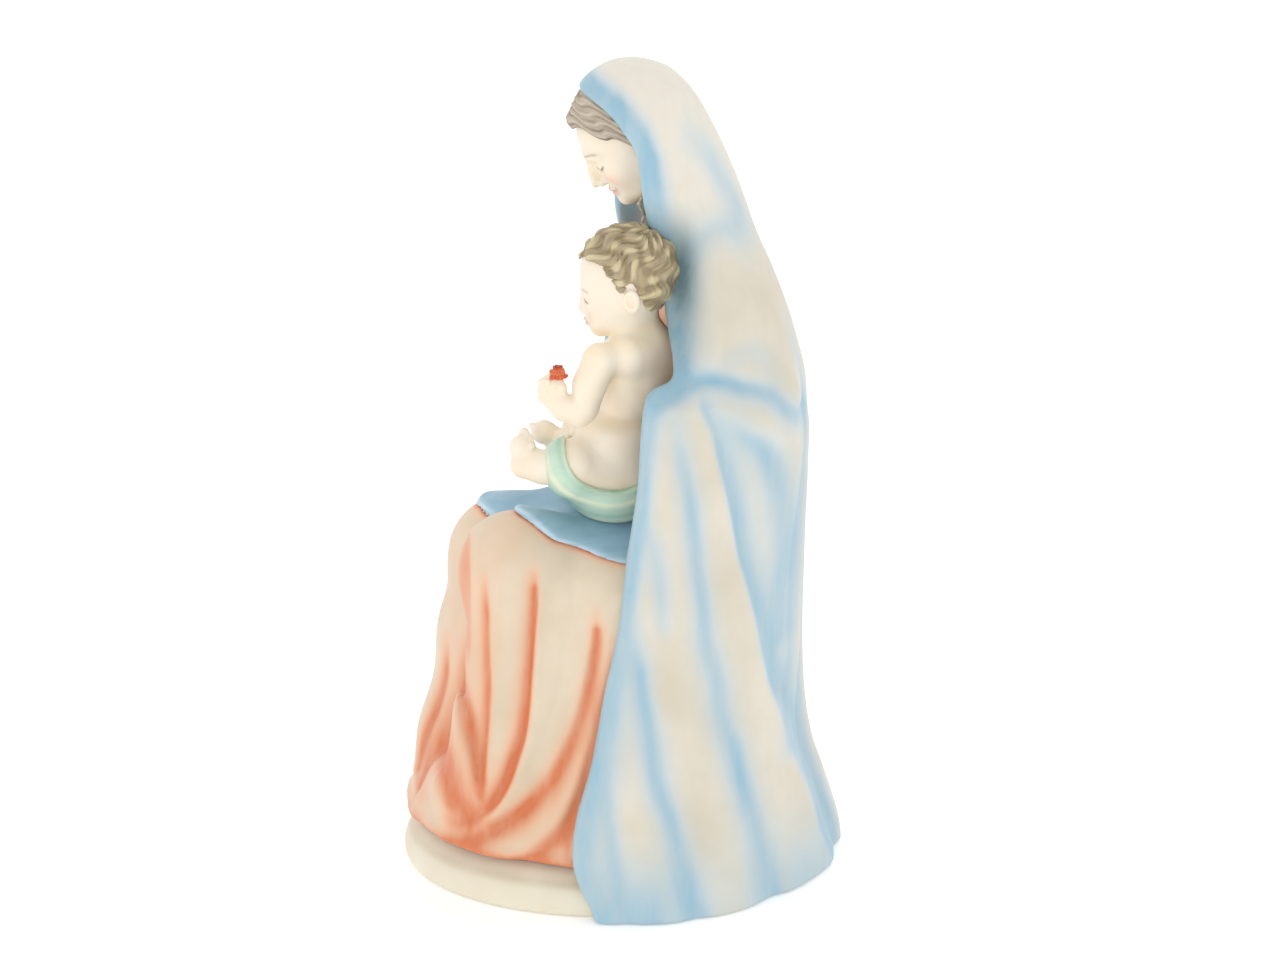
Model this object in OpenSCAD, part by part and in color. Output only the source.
// Seated madonna with the child on her lap: a hollow, slip-cast porcelain figure,
// luted together from separate castings before firing.
// Millimetres, +Z up, the mother faces -Y and her left hand is towards +X.
// The origin is on the ground, under the middle of the figure.

/* [Figure] */
// Height of the whole figure, over the hood
figure_h = 305; // [290:1:320]
// Widest spread of the mantle across the ground
mantle_w = 160; // [150:1:168]
// Depth of the figure from the skirt's front to the mantle's back
figure_d = 160; // [154:1:166]

/* [Walls] */
// Wall of the mantle casting
mantle_wall = 5; // [4:0.5:6]
// Wall of the skirt and bodice castings
robe_wall = 5; // [4:0.5:6]
// Joint between neighbouring castings
joint_gap = 0.3; // [0.2:0.05:0.5]

/* [Plinth] */
// Height of the ground slab
plinth_h = 18; // [14:0.5:20]
// Radius of the vent hole in the underside
vent_r = 8; // [6:0.5:12]
// Height of the foot ring under the slab
foot_ring_h = 3; // [2:0.5:4]

/* [Smoothness] */
// Points around a large draped section
ring_points = 46; // [40:2:56]
// Rings between two neighbouring stations of a loft
ring_steps = 2; // [2:1:3]

/* [Hidden] */

ivory = [0.95, 0.92, 0.84];
skin = [0.95, 0.88, 0.76];
salmon = [0.93, 0.66, 0.53];
sky = [0.70, 0.83, 0.90];
mint = [0.74, 0.86, 0.78];
brown = [0.62, 0.55, 0.48];
blond = [0.76, 0.70, 0.55];
orange = [0.85, 0.38, 0.20];

body_fn = 20;          // smoothness of the limbs and heads
tall = figure_h / 305; // heights below are for a figure of 305
far = 200;             // longer than any piece
half_w = mantle_w / 2;
front_y = -figure_d / 2;
back_y = figure_d / 2;

// A draped section is [z, half width, front y, back y, y of the widest place].
mantle_outside = [
    [0.5, half_w,      front_y,      back_y,        4],
    [ 20, half_w - 3,  front_y + 2,  back_y - 6,    4],
    [ 40, half_w - 6,  front_y + 4,  back_y - 11,   5],
    [ 70, half_w - 10, front_y + 8,  back_y - 13,   8],
    [105, half_w - 14, front_y + 14, back_y - 11,  14],
    [140, half_w - 18, front_y + 22, back_y - 10,  20],
    [168, half_w - 20, front_y + 32, back_y - 9.5, 26],
    [188, half_w - 22, front_y + 42, back_y - 11,  30],
    [210, half_w - 27, front_y + 50, back_y - 17,  29],
    [225, half_w - 33, front_y + 54, back_y - 22,  25],
    [238, half_w - 41, front_y + 57, back_y - 27,  20],
    [250, half_w - 47, front_y + 58, back_y - 31,  15],
    [266, half_w - 51, front_y + 60, back_y - 38,  10],
    [282, half_w - 53, front_y + 61, back_y - 46,   7],
    [294, half_w - 58, front_y + 63, back_y - 55,   4],
    [301, half_w - 66, front_y + 67, back_y - 63,   3],
    [305, half_w - 77, front_y + 80, back_y - 75,   3]];

skirt_outside = [
    [plinth_h + joint_gap, 72, front_y + 2,  60, 0],
    [ 25, 71, front_y,      60, 0],
    [ 50, 67, front_y + 3,  59, 0],
    [ 80, 63, front_y + 8,  58, 0],
    [105, 60, front_y + 13, 57, 0],
    [120, 57, front_y + 19, 56, 0],
    [131, 52, front_y + 26, 54, 0],
    [138, 42, front_y + 36, 50, 0]];

bodice_outside = [
    [136, 33, 22, 54, 38],
    [155, 30, 22, 54, 38],
    [179, 29, 22, 54, 38],
    [203, 33, 20, 51, 34],
    [220, 34, 17, 48, 31],
    [231, 27, 12, 42, 26],
    [238, 17, 10, 36, 22],
    [243, 12, 10, 31, 20]];

plinth_outside = [
    [0,              71,   front_y + 4,   back_y - 8,    -3],
    [2,              73,   front_y + 2,   back_y - 7,    -3],
    [plinth_h - 4,   72.5, front_y + 1,   back_y - 8.5,  -3],
    [plinth_h - 1.2, 71,   front_y + 2.5, back_y - 10,   -3],
    [plinth_h,       65,   front_y + 9,   back_y - 16,   -3]];

// Edge of the mantle's opening, seen from the side as [y, z], from the hood's brim to the ground.
mantle_rim = [[-16, 295], [-8, 290], [-2, 283], [2, 271], [4, 258], [6, 248], [9, 236], [11, 224], [12, 210],
    [12, 202], [8, 195], [2, 188], [0, 180], [-2, 157], [-6, 132], [-10, 105], [-15, 83], [-21, 56], [-26, 36],
    [-27, 20], [-22, 0]];

// Edge of the cloth over the lap, seen from above as [x, y].
lap_edge = [[-62, 4], [-55, -24], [-38, -44], [-20, -53], [0, -53], [22, -45], [42, -29], [57, -6], [62, 12]];
lap_back = 24;
lap_low = 112;               // lowest point of the cloth
lap_cloth = 4.5;             // its thickness

// The mother's head leans forward over the child.
mother_c = [0, 1, 276];      // middle of her skull
mother_bow = 32;             // how far it is bowed
neck_foot = [0, 21, 237];

// Her arms: the left one lies under the mantle, the right one comes out of it.
left_shoulder = [33, 30, 210];
left_elbow = [39, 38, 188];
left_wrist = [39, 24, 181];
right_shoulder = [-34, 28, 210];
right_elbow = [-42, 27, 184];
right_wrist = [-25, -3, 168];

// The child sits on her left thigh, turned a little to her right.
child_turn = 25;
pelvis = [14, -2, 153];
waist = [14, 2, 170];
chest = [13, 4, 188];
child_neck = [12, 4, 204];
child_c = [12, 1, 224];
flower_hand = [27, -28, 186];

// Smooth value between four neighbouring stations.
function between(a, b, c, d, t) =
    0.5 * (2 * b + (c - a) * t + (2 * a - 5 * b + 4 * c - d) * t * t + (3 * b - a - 3 * c + d) * t * t * t);
function smooth_list(list, steps) = [
    for (i = [0 : len(list) - 2])
        for (s = [0 : steps - 1])
            between(list[max(i - 1, 0)], list[i], list[i + 1], list[min(i + 2, len(list) - 1)], s / steps),
    list[len(list) - 1]];

// One horizontal section: an oval with its own front and back depths.
function section(st, n, inset) = [
    for (k = [0 : n - 1])
        let (a = 360 * k / n, s = sin(a), c = cos(a))
        [max(st[1] - inset, 0.5) * c,
         st[4] + (s > 0 ? max(st[3] - st[4] - inset, 0.5) : max(st[4] - st[2] - inset, 0.5)) * s,
         st[0] * tall]];

// A closed solid through the sections.
module loft(stations, inset = 0, n = ring_points, steps = ring_steps) {
    rings = [for (st = smooth_list(stations, steps)) section(st, n, inset)];
    m = len(rings);
    points = [for (r = rings) each r];
    sides = [for (i = [0 : m - 2]) for (k = [0 : n - 1])
        let (k2 = (k + 1) % n)
        each [[i * n + k, (i + 1) * n + k, (i + 1) * n + k2], [i * n + k, (i + 1) * n + k2, i * n + k2]]];
    bottom = [[for (k = [0 : n - 1]) k]];
    top = [[for (k = [n - 1 : -1 : 0]) (m - 1) * n + k]];
    polyhedron(points, concat(bottom, sides, top), convexity = 6);
}

// Meshes what it holds in one go, which suits the draped shells.
module cast_shell() {
    resize([0, 0, 0]) {
        union() {
            children();
        }
    }
}

module ball(at, r) {
    translate(at) sphere(r, $fn = body_fn);
}

module egg(at, radii, turn = [0, 0, 0]) {
    translate(at) rotate(turn) scale(radii) sphere(1, $fn = body_fn);
}

// A limb through a list of [place, radius], each pair joined.
module limb(balls, grow = 0) {
    for (i = [0 : len(balls) - 2]) {
        hull() {
            ball(balls[i][0], balls[i][1] + grow);
            ball(balls[i + 1][0], balls[i + 1][1] + grow);
        }
    }
}

// ---- Solids shared by neighbours; grow adds the joint between them ----

module opening(shift = 0) {
    rim = smooth_list(mantle_rim, 3);
    edge = [for (p = rim) [p[0] - shift, p[1] * tall]];
    rotate([90, 0, 90])
        linear_extrude(2 * far, center = true)
            polygon(concat([[-far, 295 * tall]], edge, [[-far, -1]]));
}

module mantle_body(grow = 0) {
    difference() {
        loft(mantle_outside);
        translate([0, 0, -1]) loft(mantle_outside, mantle_wall + grow);
        opening(grow);
    }
}

module skirt_body(grow = 0) {
    loft(skirt_outside, -grow);
}

module bodice_body(grow = 0) {
    loft(bodice_outside, -grow);
}

// The cloth follows the thighs and hangs a little over their sides.
module lap_body(grow = 0) {
    edge = smooth_list(lap_edge, 3);
    intersection() {
        translate([0, 0, lap_cloth + grow]) loft(skirt_outside, -1 - grow);
        translate([0, 0, lap_low - grow])
            linear_extrude(far)
                offset(delta = grow)
                    polygon(concat(edge, [[62, lap_back], [-62, lap_back]]));
    }
}

module in_head(c, bow, turn = 0) {
    translate(c) rotate([0, 0, turn]) rotate([bow, 0, 0]) children();
}

module mother_skull(grow = 0) {
    in_head(mother_c, mother_bow) {
        hull() {
            egg([0, 1, 5], [17 + grow, 20.5 + grow, 18 + grow]);
            egg([0, -9, -17], [8 + grow, 8 + grow, 7 + grow]);
        }
    }
    hull() {
        in_head(mother_c, mother_bow) ball([0, 5, -12], 8.5 + grow);
        ball(neck_foot, 10 + grow);
    }
}

module child_skull(grow = 0) {
    in_head(child_c, 4, 8 - child_turn) {
        hull() {
            egg([0, 1.5, 3], [17 + grow, 18.5 + grow, 17 + grow]);
            egg([0, -6, -11], [11 + grow, 10 + grow, 9 + grow]);
        }
        for (side = [-1, 1])
            egg([side * (16.5 + grow), 2, -4], [2, 3, 4.5]);
    }
}

module child_trunk(grow = 0) {
    turned = [0, 0, -child_turn];
    hull() {
        egg(pelvis, [19 + grow, 16 + grow, 13 + grow], turned);
        egg(waist, [17 + grow, 14 + grow, 10 + grow], turned);
    }
    hull() {
        egg(waist, [17 + grow, 14 + grow, 10 + grow], turned);
        egg(chest, [18.5 + grow, 13 + grow, 14 + grow], turned);
    }
    hull() {
        ball(chest + [0, 0, 4], 11 + grow);
        ball(child_neck + [0, 0, 4], 9 + grow);
    }
}

module child_left_leg_body(grow = 0) {
    limb([[[23, -8, 150], 10.5], [[26, -23, 155], 9], [[25, -31, 152], 6.5], [[21, -40, 163], 4.5]], grow);
}

module child_right_leg_body(grow = 0) {
    limb([[[5, -8, 150], 10.5], [[-3, -21, 158], 8.5], [[-5, -29, 154], 6.5], [[-6, -32, 168], 4.5]], grow);
}

module loincloth_body(grow = 0) {
    hull() {
        egg([14, -1, 150], [23 + grow, 19 + grow, 11 + grow], [0, 0, -child_turn]);
        egg([25, -15, 152], [12 + grow, 9 + grow, 12 + grow]);
        egg([3, -13, 152], [11 + grow, 9 + grow, 11 + grow]);
    }
}

// The left hand lies flat behind the child's back.
module left_hand_body(grow = 0) {
    limb([[left_wrist, 5.2], [[34, 23, 177], 5.2], [[22, 21.5, 172], 3.6]], grow);
}

// The right hand rests against the child's hip.
module right_hand_body(grow = 0) {
    limb([[right_wrist, 5], [[-14, -7, 166], 5.4], [[-5, -13, 163], 3.5]], grow);
}

module calyx_body(grow = 0) {
    translate(flower_hand + [0, 0, 1]) cylinder(h = 7, r = 1.6 + grow, $fn = 24);
}

// ---- Castings ----

module plinth() {
    color(ivory) difference() {
        loft(plinth_outside);
        translate([0, -3, -1]) cylinder(h = foot_ring_h + 1, r = 62, $fn = 96);
        translate([0, -3, -1]) cylinder(h = plinth_h + 2, r = vent_r, $fn = 64);
    }
}

module robe_skirt() {
    color(salmon) cast_shell() difference() {
        skirt_body();
        translate([0, 0, -0.8 * robe_wall]) loft(skirt_outside, robe_wall);
        translate([-far, lap_back, 0]) cube(2 * far);
        mantle_body(joint_gap);
    }
}

module robe_bodice() {
    color(salmon) cast_shell() difference() {
        bodice_body();
        translate([0, 0, -0.8 * robe_wall]) loft(bodice_outside, robe_wall);
        mother_skull(joint_gap);
        mantle_body(joint_gap);
    }
}

module mantle() {
    color(sky) cast_shell() mantle_body();
}

module lap_drape() {
    color(sky) cast_shell() difference() {
        lap_body();
        skirt_body(joint_gap);
        bodice_body(joint_gap);
        mantle_body(joint_gap);
    }
}

module mother_head() {
    color(skin) cast_shell() mother_skull();
}

module mother_hair() {
    color(brown) cast_shell() difference() {
        in_head(mother_c, mother_bow) egg([0, 2, 5.5], [19.5, 22, 20]);
        mother_skull(joint_gap);
        in_head(mother_c, mother_bow)
            translate([0, -22, -12]) rotate([-40, 0, 0]) cube([60, 40, 46], center = true);
        mantle_body(joint_gap);
        translate([-far, 14, 0]) cube(2 * far);
    }
}

module mother_left_sleeve() {
    color(salmon) cast_shell() difference() {
        limb([[left_shoulder, 9.5], [left_elbow, 9], [left_wrist, 7.5]]);
        bodice_body(joint_gap);
        mantle_body(joint_gap);
        left_hand_body(joint_gap);
    }
}

module mother_left_hand() {
    color(skin) cast_shell() difference() {
        left_hand_body();
        child_trunk(joint_gap);
        bodice_body(joint_gap);
    }
}

module mother_right_sleeve() {
    color(salmon) cast_shell() difference() {
        limb([[right_shoulder, 9.5], [right_elbow, 9.5], [right_wrist, 8]]);
        bodice_body(joint_gap);
        mantle_body(joint_gap);
        right_hand_body(joint_gap);
    }
}

module mother_right_hand() {
    color(skin) cast_shell() difference() {
        right_hand_body();
        child_trunk(joint_gap);
        loincloth_body(joint_gap);
        child_right_leg_body(joint_gap);
    }
}

module child_torso() {
    color(skin) cast_shell() difference() {
        child_trunk();
        child_skull(joint_gap);
        lap_body(joint_gap);
        bodice_body(joint_gap);
    }
}

module child_head() {
    color(skin) cast_shell() child_skull();
}

module child_hair() {
    color(blond) cast_shell() difference() {
        in_head(child_c, 4, 8 - child_turn) egg([0, 1.5, 4.5], [19, 20, 18.5]);
        child_skull(joint_gap);
        in_head(child_c, 4, 8 - child_turn)
            translate([0, -20, -14]) rotate([-28, 0, 0]) cube([60, 40, 40], center = true);
        child_trunk(joint_gap);
        bodice_body(joint_gap);
        mother_skull(joint_gap);
    }
}

module child_left_arm() {
    color(skin) cast_shell() difference() {
        limb([[[29, -1, 196], 8], [[35, -14, 177], 7], [[31, -22, 178], 5.2], [flower_hand, 5.5]]);
        child_trunk(joint_gap);
        calyx_body(joint_gap);
    }
}

module child_right_arm() {
    color(skin) cast_shell() difference() {
        limb([[[-4, 12, 196], 8], [[-11, 2, 180], 6.5], [[-9, -11, 179], 5], [[-6, -17, 183], 5.2]]);
        child_trunk(joint_gap);
        bodice_body(joint_gap);
    }
}

module child_left_leg() {
    color(skin) cast_shell() difference() {
        child_left_leg_body();
        child_trunk(joint_gap);
        lap_body(joint_gap);
    }
}

module child_right_leg() {
    color(skin) cast_shell() difference() {
        child_right_leg_body();
        child_trunk(joint_gap);
        child_left_leg_body(joint_gap);
        lap_body(joint_gap);
    }
}

module child_loincloth() {
    color(mint) cast_shell() difference() {
        loincloth_body();
        child_trunk(joint_gap);
        child_left_leg_body(joint_gap);
        child_right_leg_body(joint_gap);
        lap_body(joint_gap);
    }
}

module flower_bloom() {
    color(orange) translate(flower_hand + [0, 0, 8 + joint_gap])
        rotate_extrude($fn = 48) polygon([[0, 0], [2.4, 0], [4.6, 2.6], [4.2, 4.4], [2, 5], [0, 4.4]]);
}

module flower_calyx() {
    color("darkolivegreen") calyx_body();
}

plinth();
robe_skirt();
robe_bodice();
mantle();
lap_drape();
mother_head();
mother_hair();
mother_left_sleeve();
mother_left_hand();
mother_right_sleeve();
mother_right_hand();
child_torso();
child_head();
child_hair();
child_left_arm();
child_right_arm();
child_left_leg();
child_right_leg();
child_loincloth();
flower_bloom();
flower_calyx();
